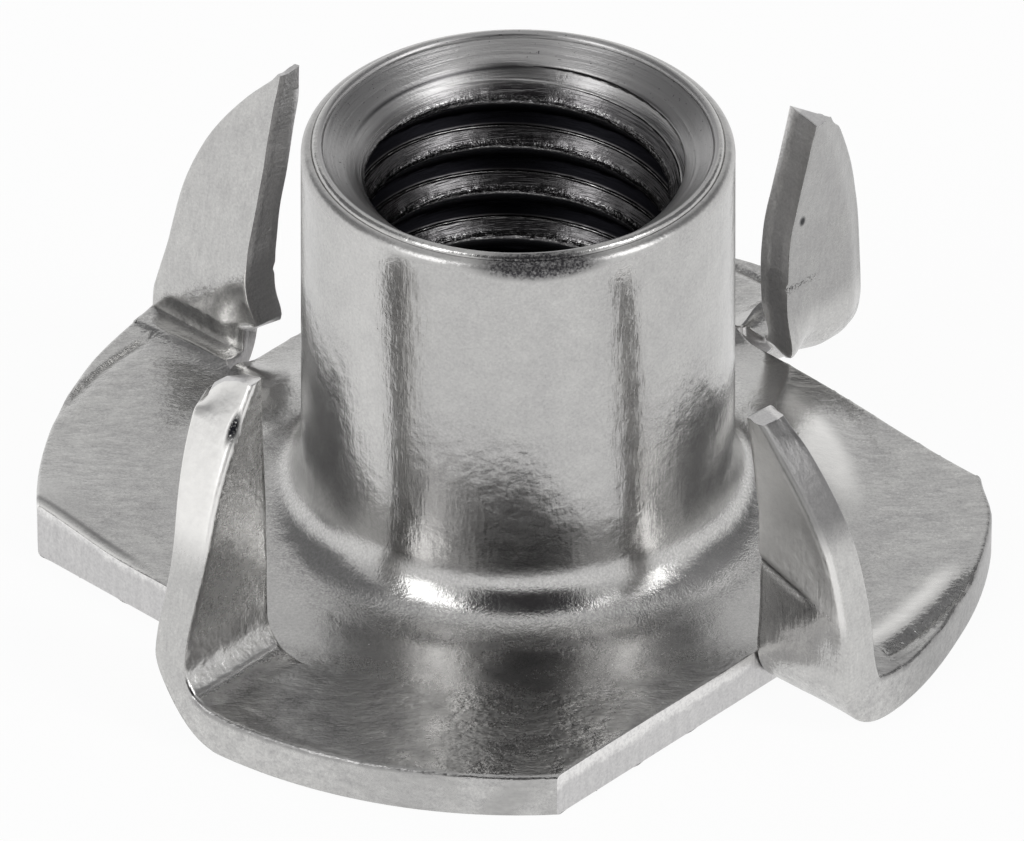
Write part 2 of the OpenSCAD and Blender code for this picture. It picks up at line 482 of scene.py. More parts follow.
    def fold(self, stance, lobe):
        """Bends the blade up, works the sheet round its root and coins the lobe beside it."""
        blade = {v for f in self.blade_faces() for v in f.verts}
        for vert in self.bm.verts:
            c = self.at(vert)
            worn = self.worn(c, 1 if vert in blade else -1)
            if vert in blade and c.y < self.bend_start - 1e-5:
                vert.co = self.place @ self.folded(worn, stance)
            else:
                lift = self.ridge(c.x, self.bend_start - c.y, stance) - stance.coin * self.coin(lobe, c)
                lift *= smooth(0.5 * SHEET_T, SHEET_T, c.z)
                spread = 1 - smooth(0, 0.76, math.atan2(c.y, c.x)) if c.y > 0 else 0
                spread *= stance.low * smooth(self.chord, RIM_R, math.hypot(c.x, c.y))
                vert.co = self.place @ (worn + Vector((spread, 0, lift)))

    def trim_to(self, tip_w):
        """Trims the blade, where its point still reaches past a tip of that width."""
        if self.reach(tip_w) > min(self.at(v).y for f in self.blade_faces() for v in f.verts) + 1e-3:
            self.trim(tip_w)

    def worn(self, c, side):
        """Rounds the corners along the sheared edge, on the blade's side (1) or the lobe's (-1)."""
        if c.y > self.bend_start - 1e-5 or abs(c.x - self.chord) > 1e-4:
            return c.copy()
        push = self.prong.edge * 0.29 * smooth(0, 0.3, self.bend_start - c.y)
        if abs(c.z) < 1e-4 or abs(c.z - SHEET_T) < 1e-4:
            return Vector((c.x + side * push, c.y, c.z + (push if c.z < SHEET_T / 2 else -push)))
        return c.copy()

    def folded(self, c, stance):
        """Where a point of the flat blank comes to stand."""
        outside = 1 - c.z / SHEET_T
        from_edge = c.x - self.chord
        along = self.bend_start - c.y
        top = SHEET_T + self.prong.bend_r
        bend = min(1.0, along / self.bend_length)
        straight = self.bend_start - self.reach(stance.tip_w) - self.bend_length
        rise = max(0.0, along - self.bend_length) * (stance.tip - top) / straight
        tip = min(1.0, rise / (stance.tip - top))
        thick = self.thickness(c, top + rise, bend, tip, stance)
        if bend < 1.0:
            y, z = self.round_bend(c, bend, thick, stance)
        else:
            y, z = self.up_blade(top + rise, outside, thick, stance)
        y += self.pushed(c, z, bend, stance)
        u, y = self.foot(c.x, y, z, along, outside, stance)
        y += stance.twist * from_edge * smooth(2, 5, z)
        u += self.bow(from_edge, z, stance) + self.gap(from_edge, z, outside, stance)
        return Vector((u, y, max(0.0, z + self.tip_end(c, tip, stance))))

    def thickness(self, c, z, bend, tip, stance):
        """The sheet's thickness where a point came to stand, with the marks on its outer face."""
        thick = mix(SHEET_T, stance.base_t, smooth(0, 1, bend))
        thick = mix(thick, stance.tip_t, smooth(0.2, 1, tip))
        rolled = stance.rolled * self.prong.roll_h * self.by_rim(c) * smooth(0.2, 0.8, bend)
        marks = self.swell(c, bend, stance) - self.scar(c.x, z, stance) - rolled
        return thick + marks * (1 - c.z / SHEET_T)

    def by_rim(self, c):
        """1 at the rim, falling to 0 over the width that the die rolled over."""
        return smooth(self.prong.roll_w, 0, RIM_R - math.hypot(c.x, c.y))

    def round_bend(self, c, bend, thick, stance):
        """How far back and how high a point of the bend lies."""
        prong, outside, turned = self.prong, 1 - c.z / SHEET_T, math.pi / 2 * bend
        corner = 1 / max(math.cos(turned), math.sin(turned)) - 1
        ridge = self.ridge(c.x, self.bend_start - c.y, stance) * (1 - outside)
        inner = prong.bend_r * (1 + stance.sharp * corner) - ridge
        off = inner + outside * (thick + prong.bend_r - inner)
        shift = (stance.set - self.bend_start + prong.bend_r) * smooth(0.2, 1, bend)
        y = self.bend_start - off * math.sin(turned) + shift
        return y, SHEET_T + prong.bend_r - off * math.cos(turned)

    def up_blade(self, z, outside, thick, stance):
        """How far back and how high a point of the blade lies: the blade leans above its knee."""
        above = z - stance.knee
        slope = math.hypot(above, KNEE_R)
        lean = stance.lean * (above + slope) / 2
        tilt = math.atan(stance.lean * (1 + above / slope) / 2)
        return stance.set - lean - outside * thick * math.cos(tilt), z - outside * thick * math.sin(tilt)

    def pushed(self, c, z, bend, stance):
        """How far the die pushed the blade forwards, and the inner face's rim back."""
        outside = 1 - c.z / SHEET_T
        upright = mix(bell(z - 3.3, 1.5), 1 - smooth(2.5, 6, z), smooth(0.2, 1, c.x - self.chord))
        forward = stance.forward * upright * smooth(0.2, 1, bend) * (1 - 0.45 * outside)
        return forward - stance.roll * self.by_rim(c) * (1 - outside) * smooth(0.1, 0.6, bend)

    def bow(self, from_edge, z, stance):
        """How far out the blade bows, most at the rim."""
        bow = stance.full * bell(z - stance.full_z, 1.8) + stance.low * (1 - smooth(0.8, 3.5, z))
        return bow * smooth(0, RIM_R - self.chord, from_edge + 0.8 * smooth(5, 8, z))

    def gap(self, from_edge, z, outside, stance):
        """The slit between the blade's edge and the sheet it was cut from, a little wavy."""
        wave = 0.02 * noise.noise(Vector((z * 1.3, outside, stance.set * 9)))
        return (self.prong.slit + wave) * (1 - smooth(0, 0.35, from_edge))

    def tip_end(self, c, tip, stance):
        """How the blade's end is slanted, blunted and ragged."""
        outside = 1 - c.z / SHEET_T
        slant = stance.slant * (outside - 0.5) - stance.blunt * outside ** 2
        slant -= stance.drop * (c.x - self.chord) * (2.6 - 1.6 * outside)
        ragged = 0.05 * noise.noise(Vector((c.x * 5, c.z * 4, stance.tip)))
        return slant * smooth(0.85, 1, tip) + ragged * smooth(0.93, 1, tip)

    def swell(self, c, bend, stance):
        """The bend's outside bulges towards the rim, past the flat that the die pressed."""
        edge = self.chord + 1.0
        share = mix(stance.heel, stance.swell, smooth(edge, edge + 0.9, c.x))
        return self.prong.swell * share * max(0.0, math.sin(math.pi * bend)) ** 1.6

    def scar(self, u, z, stance):
        """A line across the outer face where the die stopped, and the flat it wore under it."""
        line_z = stance.scar_z - 0.3 * (u - self.chord)
        mask = 1 - smooth(1.2, 1.9, u - self.chord)
        flat = 0.6 * smooth(line_z + 0.1, line_z - 0.1, z)
        return self.prong.scar * mask * (bell(z - line_z, 0.1) + flat)

    def foot(self, u, y, z, along, outside, stance):
        """Frees the corner at the prong's foot: it hangs over the bend, flared a little."""
        from_edge = u - self.chord
        beside = 1 - smooth(0.1, 0.8, from_edge)
        level = stance.foot - 0.2 * outside
        under = (1 - smooth(level - 0.12, level + 0.05, z)) * min(1.0, along / 0.4)
        flare = stance.flare * (1 - smooth(0, 1.1, from_edge)) * bell(z - level - 0.1, 0.6)
        return u + 0.3 * beside * under, y + 0.4 * beside * under * outside - flare * (1 - under)


class Stance(NamedTuple):
    """How one prong came to stand, in millimetres from its radial line and above the floor."""
    # The blade: where its inner face stands, its slope above the knee, and its height
    set: float = 0
    lean: float = 0.2
    knee: float = 4.9
    tip: float = 8
    # Thickness above the bend and at the tip, and the tip's width
    base_t: float = 0.86
    tip_t: float = 0.86
    tip_w: float = 0.5
    # The tip's end: its fall towards the inner face and towards the rim, and its blunted outer edge
    slant: float = 0
    drop: float = 0
    blunt: float = 0
    # The face pushed forwards, and turned in plan per millimetre from the sheared edge
    forward: float = 0
    twist: float = 0
    # The rim swells out by so much, most at a height; and by so much at the foot
    full: float = 0.1
    full_z: float = 6.4
    low: float = 0
    # The bend's outside, as shares of its swell: towards the rim, and at the heel
    swell: float = 1
    heel: float = 0
    # The rim's edges: the inner one pushed back, and the outer one's share of its roll
    roll: float = 0
    rolled: float = 1
    # The bend's inside: how square it is, and its share of the ridge
    sharp: float = 0.1
    ridge: float = 0
    # The free corner at the foot: its height, and how far it flares
    foot: float = 0
    flare: float = 0
    # The scar's height, and the share of the coined mark beside the prong
    scar_z: float = 3.3
    coin: float = 1


# The prongs, anticlockwise from the one between +X and +Y
STANCES = (
    Stance(set=-0.02, lean=0.22, knee=4.6, tip=8.15, tip_w=0.8, drop=0.3, forward=0.08, full=0.2,
           full_z=4.9, swell=0.6, sharp=0.8, ridge=1, foot=1.3, flare=0.3, scar_z=3.1, coin=0.8),
    Stance(set=0.11, lean=0.25, knee=5.0, tip=8.5, tip_w=0.15, slant=0.2, forward=0.36, full=0.4,
           full_z=6.2, low=0.4, sharp=0.6, ridge=0.7, foot=1.9, flare=0.12, coin=0.7),
    Stance(lean=0.03, tip=8.35, base_t=1.1, tip_t=1.6, tip_w=0.4, blunt=0.75, twist=0.1, swell=-0.6,
           coin=0.1),
    Stance(set=0.12, tip=7.85, base_t=1.0, tip_t=0.85, tip_w=0.55, slant=0.25, forward=0.08, heel=1.2,
           roll=0.12, rolled=-0.2, sharp=0.4, ridge=0.3, scar_z=3.7),
)


def settle(co, lobe):
    """Where a point of the flange settles: askew, shy or proud in places, and a little uneven."""
    x, y, z = co
    turn, r = math.atan2(y, x), math.hypot(x, y)
    # The +X lobe: its far edge was sheared a little askew, and its rim falls short
    u, v = (x + y) * math.sqrt(0.5), (y - x) * math.sqrt(0.5)
    skew = lobe.skew * math.sqrt(0.5) * smooth(0, 7.4, -v) * smooth(6.8, 8.15, u) if v < 0 else 0.0
    shy = lobe.shy * smooth(7.5, RIM_R, r) * smooth(-0.72, -0.4, turn) * (1 - smooth(0.3, 0.7, turn))
    x, y = x - skew - shy * x / r, y - skew - shy * y / r
    # The -X lobe: the corner at its front edge stands proud
    corner = Vector((-RIM_R * math.cos(0.05), -RIM_R * math.sin(0.05), 0))
    above = smooth(0.3 * SHEET_T, SHEET_T, z)
    z += lobe.proud * above * bell((Vector((x, y, 0)) - corner).length, 1.7)
    sway = noise.noise(Vector((x * 0.35, y * 0.35, 1.7))) * smooth(6.8, 8.2, r)
    sway += 0.4 * noise.noise(Vector((x * 0.9, y * 0.9, 4.2))) * smooth(6.8, 8, r)
    return Vector((x, y, min(z + lobe.sway * above * sway, OVERALL_H)))


def build_nut(cup, thread, prong, lobe):
    """The nut's closed mesh, in millimetres: a quarter of the flange is lanced, and folded four times."""
    seam_r = prong.chord - SEAM_INSET
    quarter = spin_section(flange_section(cup, seam_r), cup.columns // PRONGS, math.tau / PRONGS)
    bmesh.ops.recalc_face_normals(quarter, faces=quarter.faces)
    if sum(f.normal.z for f in quarter.faces if f.calc_center_median().z > SHEET_T - 1e-3) < 0:
        bmesh.ops.reverse_faces(quarter, faces=quarter.faces)
    lance = Lance(quarter, prong)
    lance.shear()
    lance.grid(NARROW_TIP)
    nut = spin_section(barrel_section(cup, thread, seam_r), cup.columns, math.tau)
    cut_thread(nut, cup, thread)
    remember_blank(nut, Matrix.Identity(3))
    raise_toe(nut, lobe)
    for face in nut.faces:
        c = face.calc_center_median()
        if c.xy.length < crown(cup)[0] and c.z > cup.entry_r:
            face.material_index = TAPPED
    for i, stance in enumerate(STANCES):
        piece = quarter.copy()
        turned = Matrix.Rotation(math.tau * i / PRONGS, 3, "Z")
        bent = Lance(piece, prong)
        bent.trim_to(stance.tip_w)
        remember_blank(piece, turned)
        bent.fold(stance, lobe)
        blade = {v for f in bent.blade_faces() for v in f.verts}
        bmesh.ops.rotate(piece, verts=piece.verts, matrix=turned)
        for vert in piece.verts:
            if vert not in blade and vert.co.xy.length > seam_r + 1e-3:
                vert.co = settle(vert.co, lobe)
        raise_toe(piece, lobe)
        add_in(nut, piece)
    quarter.free()
    bmesh.ops.remove_doubles(nut, verts=[v for v in nut.verts if v.is_boundary], dist=1e-3)
    bmesh.ops.recalc_face_normals(nut, faces=nut.faces)
    return nut


def raise_toe(bm, lobe):
    """Lifts the flange's top a little where it runs into the flare."""
    for vert in bm.verts:
        r, z = vert.co.xy.length, vert.co.z
        if SHEET_T / 2 < z < RISE_UNDER and BARREL_R < r < lobe.toe_r:
            share = (lobe.toe_r - r) / (lobe.toe_r - RISEN_R)
            turn = math.degrees(math.atan2(vert.co.y, vert.co.x))
            pushed = sum(bell(math.remainder(turn - at, 360), width) for at, width in PUSHED_AT)
            pushed *= lobe.pushed * (1 - smooth(6.4, 8.4, r))
            vert.co.z += (lobe.toe * (min(1.0, share) ** 1.6) + pushed) * smooth(BARREL_R, RISEN_R, r)


def remember_blank(bm, turned):
    """Keeps each vertex's present place, turned about the axis, as its place in the blank."""
    layer = bm.verts.layers.float_vector.get(BLANK) or bm.verts.layers.float_vector.new(BLANK)
    for vert in bm.verts:
        vert[layer] = turned @ vert.co


def add_in(bm, other):
    """Adds another mesh's geometry to bm, and frees it."""
    mesh = bpy.data.meshes.new("passing")
    other.to_mesh(mesh)
    other.free()
    bm.from_mesh(mesh)
    bpy.data.meshes.remove(mesh)


# ---- Operators ----

class TEENUT_OT_nut(bpy.types.Operator):
    """Builds the nut and gives it its steel"""
    bl_idname = "teenut.nut"
    bl_label = "Tee Nut"

    def execute(self, context):
        scene = context.scene
        bm = build_nut(scene.nut_cup, scene.nut_thread, scene.nut_prong, scene.nut_lobe)
        bmesh.ops.scale(bm, vec=(MM, MM, MM), verts=bm.verts)
        mesh = bpy.data.meshes.new("nut_body")
        bm.to_mesh(mesh)
        bm.free()
        piece = bpy.data.objects.new("nut_body", mesh)
        scene.collection.objects.link(piece)
        mesh.shade_smooth()
        mesh.set_sharp_from_angle(angle=math.radians(SHARP_ANGLE))
        for paint in (drawn_steel, sheared_steel, tapped_steel):
            mesh.materials.append(paint(scene.nut_finish))
        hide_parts(NODE)
        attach(piece, "root")
        return {"FINISHED"}


# ---- Materials ----

def plug(tree, slot, value):
    """Gives a node's input a link or a plain value."""
    if isinstance(value, Value):
        tree.links.new(value.socket, slot)
    else:
        slot.default_value = value


def sum_of(operation, swapped=False):
    """A method of Value for one sum of two values."""
    def work_out(self, other):
        return self.math(operation, *((other, self) if swapped else (self, other)))
    return work_out


class Value:
    """A node's output that adds and multiplies like a number."""

    def __init__(self, tree, socket):
        self.tree, self.socket = tree, socket

    def math(self, operation, *parts):
        """A sum of any parts, in the same tree."""
        node = self.tree.nodes.new("ShaderNodeMath")
        node.operation = operation
        for slot, part in zip(node.inputs, parts):
            plug(self.tree, slot, part)
        return Value(self.tree, node.outputs[0])

    __add__ = __radd__ = sum_of("ADD")
    __sub__ = sum_of("SUBTRACT")
    __rsub__ = sum_of("SUBTRACT", swapped=True)
    __mul__ = __rmul__ = sum_of("MULTIPLY")
    __truediv__ = sum_of("DIVIDE")
    max = sum_of("MAXIMUM")
    # The turn about the axis of a point whose Y this is, when given its X
    turn_from = sum_of("ARCTAN2")

    def also(self, name):
        """Another output of the same node."""
        return Value(self.tree, self.socket.node.outputs[name])

    def abs(self):
        """The value without its sign."""
        return self.math("ABSOLUTE", self)

    def hypot(self, other):
        """The long side of a right triangle."""
        return self.math("SQRT", self * self + other * other)

    def ramp(self, low, high):
        """0 below low, 1 above high (low may be the larger), smooth between."""
        if low > high:
            return 1.0 - self.ramp(high, low)
        node = self.tree.nodes.new("ShaderNodeMapRange")
        node.interpolation_type = "SMOOTHSTEP"
        for name, value in (("Value", self), ("From Min", low), ("From Max", high)):
            plug(self.tree, node.inputs[name], value)
        return Value(self.tree, node.outputs["Result"])

    def near(self, centre, width):
        """1 at a value, falling to 0 that far to each side of it."""
        return (self - centre).abs().ramp(width, 0.0)


class Nodes:
    """A node tree, and the one way in which nodes are added to it."""

    def __init__(self, tree):
        self.tree = tree

    def node(self, kind, settings=None, inputs=None, output=0):
        """Adds a shader node: its settings first, then its inputs."""
        node = self.tree.nodes.new("ShaderNode" + kind)
        for name, value in (settings or {}).items():
            setattr(node, name, value)
        for name, value in (inputs or {}).items():
            plug(self.tree, node.inputs[name], value)
        return Value(self.tree, node.outputs[output])

    def split(self, vector):
        """A vector's three parts."""
        parts = self.node("SeparateXYZ", inputs={0: vector})
        return parts, parts.also("Y"), parts.also("Z")

    def noise(self, vector, per_mm, detail=2.0, rough=0.5):
        """Noise about 0, from about -0.5 to 0.5, with so many lumps a millimetre along X, Y and Z."""
        stretched = self.node("VectorMath", {"operation": "MULTIPLY"}, {0: vector, 1: per_mm})
        inputs = {"Vector": stretched, "Scale": 1.0, "Detail": detail, "Roughness": rough}
        return self.node("TexNoise", inputs=inputs) - 0.5

    def blend(self, share, first, second):
        """A mix of two colours, each a node's or a setting's."""
        first, second = (c if isinstance(c, Value) else (*c, 1) for c in (first, second))
        return self.node("Mix", {"data_type": "RGBA"}, {0: share, 6: first, 7: second}, 2)


class Paint(Nodes):
    """A material and its nodes."""

    def __init__(self, name):
        self.material = bpy.data.materials.new(name)
        self.material.use_nodes = True
        super().__init__(self.material.node_tree)
        self.shader = self.tree.nodes["Principled BSDF"].inputs

    def place(self):
        """Where a point of the finished nut is, in millimetres."""
        point = self.node("TexCoord").also("Object")
        return self.node("VectorMath", {"operation": "SCALE"}, {0: point, "Scale": 1 / MM})

    def blank(self):
        """Where a point lay in the flat blank, in millimetres."""
        return self.node("Attribute", {"attribute_name": BLANK}).also("Vector")

    def finish(self, colour, roughness, height):
        """Puts a colour, a roughness and a height in millimetres on the shader."""
        plug(self.tree, self.shader["Base Color"], colour)
        plug(self.tree, self.shader["Roughness"], roughness)
        self.shader["Metallic"].default_value = 1
        bump = self.node("Bump", inputs={"Strength": 1.0, "Distance": 1.0, "Height": height * MM})
        plug(self.tree, self.shader["Normal"], bump)
        return self.material

    def matt(self, tone, roughness):
        """Puts a plain colour and a roughness on the shader."""
        self.shader["Base Color"].default_value = (*tone, 1)
        self.shader["Roughness"].default_value = roughness


def draw_lines(paint, blank, on_barrel):
    """Fine lines that the die drew up the barrel."""
    fine = paint.noise(blank, (9, 9, 1.6), 3.0, 0.6)
    broad = paint.noise(blank, (2.0, 2.0, 0.25))
    return (fine * 0.006 + broad * 0.008) * on_barrel


def grain(paint, blank, on_barrel, flare):
    """The sheet's grain, coarser where the flare was stretched."""
    fine = paint.noise(blank, (17, 17, 17), 2.0, 0.7)
    pebbles = paint.noise(blank, (2.6, 2.6, 2.6))
    return fine * (0.0025 + flare * 0.006) + pebbles * (0.005 + flare * 0.012 + on_barrel * 0.008)


def smudge(x, y, z, centre, reach):
    """A soft blot: 1 at its centre, fading to 0 at its reach along each axis."""
    off = ((x - centre[0]) / reach[0]).hypot((y - centre[1]) / reach[1]).hypot((z - centre[2]) / reach[2])
    return off.ramp(1.0, 0.4)


def left_chord(bx, by):
    """How far a point of the blank lies out towards the sheared edge at the front of the left lobe."""
    return (bx + by) * -math.sqrt(0.5)


def coined(bx, by, bz):
    """A painted highlight along the inner side of a coined mark."""
    lobe = bpy.context.scene.nut_lobe
    run = (bx + by).turn_from(bx - by) * RIM_R
    s = bx.hypot(by) - (run - lobe.coin_start) * lobe.coin_drift - lobe.coin_r
    return s.near(-0.22, 0.42) * run.ramp(0.9, 1.4) * run.ramp(5.6, 4.4) * bz.ramp(0.9, 1.05)


def painted_highlights(paint, x, y, z, blank, uneven):
    """Painted highlights and reflections, in the polished colour: beside the flare, and down the edges of
    the front prongs.
    """
    bx, by, bz = paint.split(blank)
    rim, outer, inner = bx.hypot(by), bz.ramp(0.2, 0.05), bz.ramp(0.9, 1.05)
    left, right = x.ramp(-2.0, -4.0), x.ramp(2.0, 4.0)
    # Painted highlights on the flange: pushed up at the right, the flare's toe at the left, a ring in
    # front, and the left edge
    bright = smudge(x + y * 0.3, y, z, (7.35, 1.5, 1.2), (0.85, 2.7, 1.2))
    bright += smudge(x, y, z, (-5.8, 2.2, 1.4), (0.45, 0.35, 0.5))
    bright += x.hypot(y).near(5.75, 0.6) * y.turn_from(x).near(-0.75, 0.45) * z.ramp(2.6, 2.2) * 0.8
    bright += left_chord(bx, by).near(8.1, 0.1) * bx.ramp(-8.2, -9.2) * z.ramp(1.8, 1.6)
    bright += coined(bx, by, bz) * x.ramp(6.0, 7.0)
    # Painted highlights on the front prongs: the left one's rim and inner face, the right one's rim and
    # outer face
    left_rim = rim.ramp(10.84, 10.92) * z.ramp(4.2, 5.4) * left
    left_face = inner * left * rim.ramp(10.84, 10.7) * 0.35
    right_rim = rim.near(10.8, 0.16) * outer * z.ramp(3.6, 4.4) * z.ramp(7.2, 6.6) * right
    right_face = outer * (z + (x - y) * 0.21 + uneven * 0.35).ramp(5.9, 6.45) * right * 0.7
    prongs = left_rim.max(right_rim).max(right_face).max(left_face)
    bright += prongs * y.ramp(-2.0, -4.0) * z.ramp(2.0, 2.6)
    return bright * (uneven * 0.5 + 0.85)


def stain_and_shade(paint, x, y, z, blank, speckle, uneven):
    """The lip's dark stain, and painted shade: a scar, the right prongs, the left edge, the right rim and
    the front of the flange.
    """
    bx, by, bz = paint.split(blank)
    rim, r, u = bx.hypot(by), x.hypot(y), (x - y) * math.sqrt(0.5)
    lip = smudge(x, y, z, (0.35, -4.8, 10.62), (1.9, 1.2, 0.4)) * (speckle * 2.4 + 0.85)
    # Painted shade on the right prongs: the front one's scar and rim, and the whole rear one
    front_right = x.ramp(3.0, 4.0) * y.ramp(-3.0, -4.0)
    scar = (z + u * 0.3).near(6.17, 0.13) * u.ramp(9.9, 9.2) * bz.ramp(0.2, 0.1) * front_right * 0.9
    prong_rim = rim.ramp(10.84, 10.92) * z.ramp(4.6, 5.6) * front_right * 0.65
    back_right = x.ramp(3.0, 4.0) * y.ramp(3.0, 4.0) * z.ramp(1.6, 2.4) * 0.3
    # Painted shade on the flange: its rim at the right, a painted shadow along the left edge, and a painted
    # dark reflection over the front lobe up to the flare
    right_rim = rim.ramp(10.84, 10.94) * z.ramp(1.2, 1.0) * x.ramp(7.8, 9.2) * 0.4
    edge = left_chord(bx, by).near(7.88, 0.14) * bx.ramp(-8.2, -9.2) * z.ramp(1.8, 1.6) * 0.5
    lobe = y.ramp(-5.6, -7.2) * z.ramp(1.34, 1.2) * bz.ramp(0.9, 1.05)
    toe = r.ramp(5.8, 6.2) * z.ramp(2.0, 1.5) * y.ramp(-3.8, -5.0) * x.near(0.0, 5.6)
    depth = uneven * 0.9 + 0.15 + x.abs().ramp(1.4, 3.5) * 0.28 + r.near(6.2, 0.4) * 0.3
    front = lobe.max(toe) * depth * (speckle * 1.8 + 1.0)
    return lip.max(scar).max(prong_rim).max(back_right).max(front).max(edge).max(right_rim)


def pitted(x, y, z, speckle):
    """Painted shade in small deep pits, one through a front prong's edge and one in a back prong's face,
    and along a crease on the back prong.
    """
    lean = (z - 7.35) * 0.28
    slot = smudge(x - lean, y - lean, z, (-6.56, -6.42, 7.35), (0.19, 0.19, 0.72))
    slot = slot * speckle.ramp(-0.25, -0.05)
    dot = smudge(x, y, z, (6.7, 5.43, 4.9), (0.1, 0.4, 0.22))
    u = (x + y) * math.sqrt(0.5)
    crease = z.near(3.0, 0.2) * u.ramp(9.4, 8.9) * y.ramp(4.0, 5.0) * x.ramp(4.0, 5.0)
    return slot.max(dot).max(crease * speckle.ramp(0.02, 0.12) * 0.8)


def drawn_steel(finish):
    """The bright skin of the pressed sheet."""
    paint = Paint("drawn_steel")
    place, blank = paint.place(), paint.blank()
    x, y, z = paint.split(place)
    r = x.hypot(y)
    on_barrel = z.ramp(1.8, 3.2) * r.ramp(6.0, 5.4)
    flare = r.near(5.9, 1.2) * z.ramp(3.4, 2.4)
    lobes = r.ramp(7.2, 8.4) * z.ramp(1.34, 1.2)
    prongs = r.ramp(6.5, 7.5) * z.ramp(1.2, 1.7)
    wrinkles = paint.noise(place, (2.0, 5.0, 5.0), 3.0, 0.65)
    streaks = paint.noise(place, (9, 9, 1.1), 3.0, 0.65)
    speckle = paint.noise(place, (16, 16, 16), 2.0, 0.75)
    mottle = paint.noise(blank, (1.3, 1.3, 1.3), 3.0, 0.6)
    height = draw_lines(paint, blank, on_barrel) + grain(paint, blank, on_barrel, flare)
    inner = paint.split(blank)[2].ramp(0.9, 1.05)
    uneven = 0.016 + x.ramp(-2.0, -4.0) * y.ramp(-2.0, -4.0) * inner * 0.02
    height = height + wrinkles * lobes * 0.032 + (streaks * 0.006 + mottle * uneven) * prongs
    shade = mottle * 0.6 + speckle * (1.1 + 0.9 * flare + 0.4 * lobes) + 0.6 - on_barrel * 0.12
    shade = shade + wrinkles * lobes * 1.3 + streaks * prongs * 0.6
    # Painted highlights and reflections
    bright = painted_highlights(paint, x, y, z, blank, wrinkles)
    # The lip's stain, and painted shade and shadows
    dark = stain_and_shade(paint, x, y, z, blank, speckle, mottle)
    pits = pitted(x, y, z, speckle)
    tone = paint.blend(shade, finish.dull, finish.bright)
    tone = paint.blend(bright, tone, finish.polished)
    tone = paint.blend(dark, tone, finish.dirt_and_shade)
    # Painted shade in the pits and the crease
    tone = paint.blend(pits, tone, finish.pitch)
    shoulder = z.ramp(10.35, 10.5) * r.ramp(4.66, 4.7)
    rough = finish.skin_rough + mottle * 0.08 + lobes * 0.05 + speckle * 0.08 + dark * 0.2 + shoulder * 0.12
    rough = rough + bright * prongs * 0.25
    return paint.finish(tone, rough, height - pits * 0.015)


def sheared_steel(finish):
    """The sheared edges: burnished next to the punch, then broken."""
    paint = Paint("sheared_steel")
    blank = paint.blank()
    x, y = paint.split(paint.place())[:2]
    depth = paint.split(blank)[2] / SHEET_T - x.ramp(-5.0, -8.0) * 0.18
    wavy = paint.noise(blank, (2.5, 2.5, 2.5), 2.0) * 0.35
    burnish = (depth + wavy).ramp(0.6, 0.82)
    lines = paint.noise(blank, (9, 9, 0.8), 2.0, 0.6)
    torn = paint.noise(blank, (14, 14, 14), 2.0, 0.7)
    # The back-left sheared edges are darker: painted shade
    tone_up = burnish * (0.55 + torn * 0.8 - x.ramp(-3.0, -5.0) * y.ramp(3.0, 5.0) * 0.6)
    height = lines * 0.005 + torn * 0.006 + burnish * 0.01
    shade = torn * 0.8 + lines * 0.4 + 0.35 + tone_up
    tone = paint.blend(shade, finish.sheared_dark, finish.sheared)
    return paint.finish(tone, finish.skin_rough + 0.12, height)


def thread_share(x, y, z, thread):
    """Where a point lies between one crest (0) and the next one above it (1)."""
    pitches = (z - thread.phase) / thread.pitch - y.turn_from(x) / math.tau
    return pitches.math("FRACT", pitches)


def tapped_steel(finish):
    """The countersink's tool rings, and the thread with painted shade inside the bore, painted shadows
    under its crests and painted glints on its torn crests.
    """
    thread = bpy.context.scene.nut_thread
    paint = Paint("tapped_steel")
    place = paint.place()
    x, y, z = paint.split(place)
    r = x.hypot(y)
    round_about = paint.node("CombineXYZ", inputs={0: r * 8.0, 1: z * 8.0, 2: x * 0.25})
    rings = paint.noise(round_about, (1, 1, 1), 3.0, 0.75)
    torn = paint.noise(place, (11, 11, 14), 2.0, 0.7)
    share = thread_share(x, y, z, thread)
    crest = r.ramp(BORE_R + 0.1, BORE_R + 0.02)
    inside = z.ramp(10.2, 9.7)
    # Painted shadow under each crest
    root = share.ramp(0.31, 0.35) * share.ramp(0.98, 0.92) * z.ramp(9.6, 9.4)
    # A painted highlight along the line below each crest's shadow
    lit_line = share.near(0.29, 0.03) * inside
    height = rings * (0.01 + inside * 0.02) + torn * (0.004 + crest * 0.016) + lit_line * 0.03
    tone = paint.blend(rings * (0.8 + inside) + 0.55, finish.tapped_dark, finish.tapped)
    # Painted shade inside the bore, lighter on the torn crests as painted glints
    tone = paint.blend(inside * (1.0 - torn.ramp(-0.02, 0.12) * crest) * 0.9, tone, finish.bore_shade)
    tone = paint.blend(root, tone, finish.pitch)
    tone = paint.blend(lit_line * 0.7, tone, finish.tapped)
    # A painted shadow along the foot of the countersink, and painted shade in its pits
    step = z.near(10.24, 0.06) * y.ramp(0.5, 2.5)
    pits = (torn - 0.17).ramp(0.0, 0.05) * z.ramp(10.2, 10.35)
    tone = paint.blend(pits.max(step) * 0.8, tone, finish.dirt_and_shade)
    return paint.finish(tone, finish.skin_rough + rings * 0.1 + root * 0.3 + (1.0 - inside) * 0.12, height)


